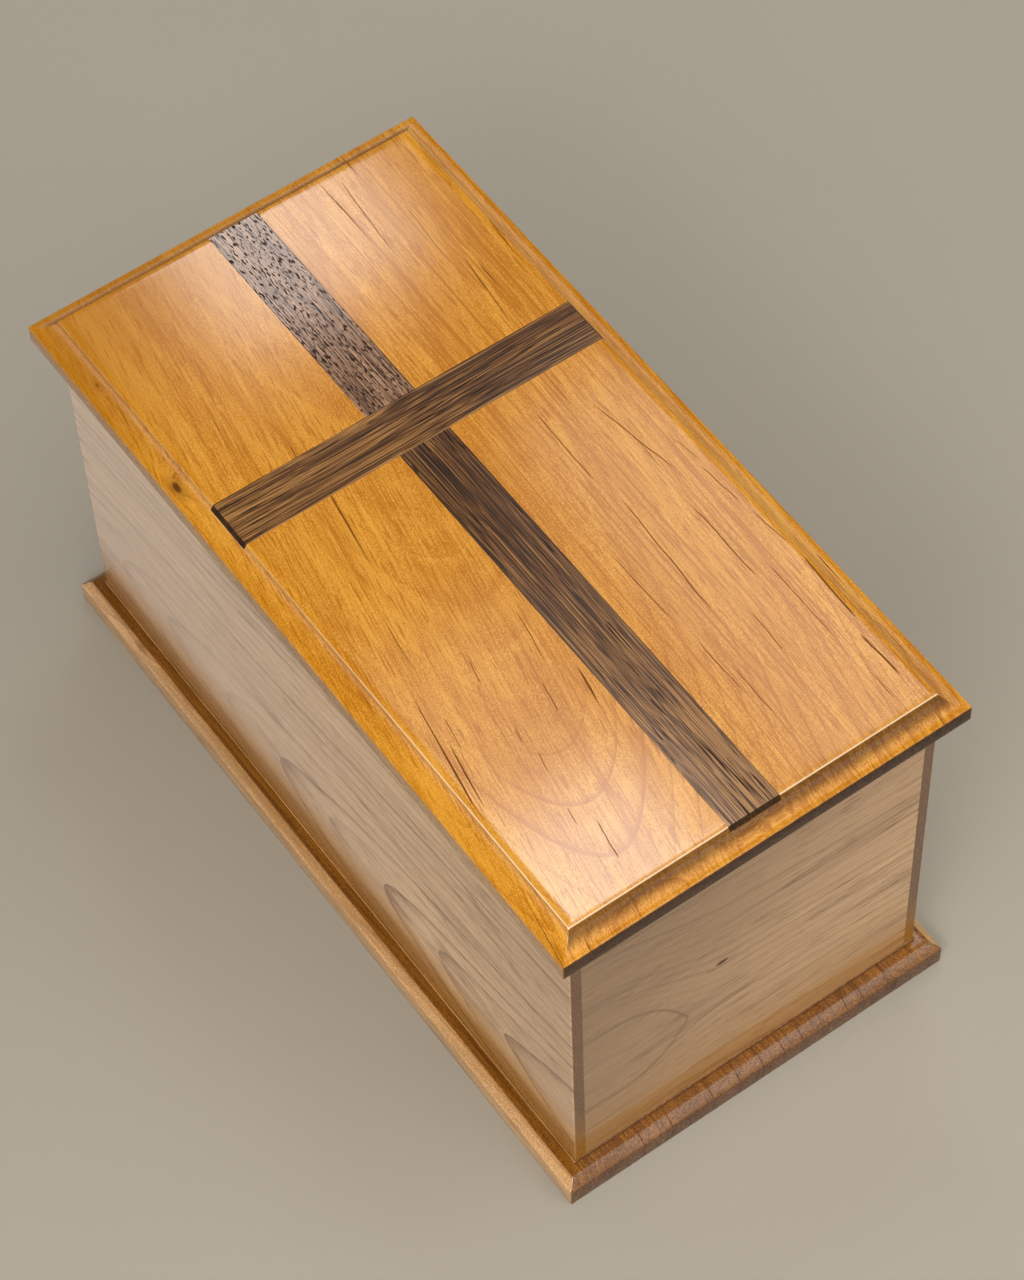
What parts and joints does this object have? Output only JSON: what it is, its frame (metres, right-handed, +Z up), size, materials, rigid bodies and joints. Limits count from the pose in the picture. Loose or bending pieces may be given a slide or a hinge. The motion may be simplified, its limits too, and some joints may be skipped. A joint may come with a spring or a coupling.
{
  "type": "wooden cremation urn",
  "caption": "Long rectangular wooden urn with a coved lift-off lid, an inlaid cross and a chamfered base board.",
  "frame": {"origin": "middle of the base board's underside", "axes": "+Z up, +Y along the length towards the head of the cross, +X across the width"},
  "size_m": [0.1524, 0.297, 0.1586],
  "materials": {
    "alder_lid": "gloss lacquer",
    "alder_case": "satin lacquer",
    "alder_base": "satin lacquer",
    "walnut_inlay": "gloss lacquer"
  },
  "bodies": {
    "root": {"base": "alder_base", "side_left": "alder_case", "side_right": "alder_case", "end_foot": "alder_case", "end_head": "alder_case", "lid": "alder_lid", "cross_upright_head": "walnut_inlay", "cross_upright_foot": "walnut_inlay", "cross_bar": "walnut_inlay"}
  },
  "joints": []
}
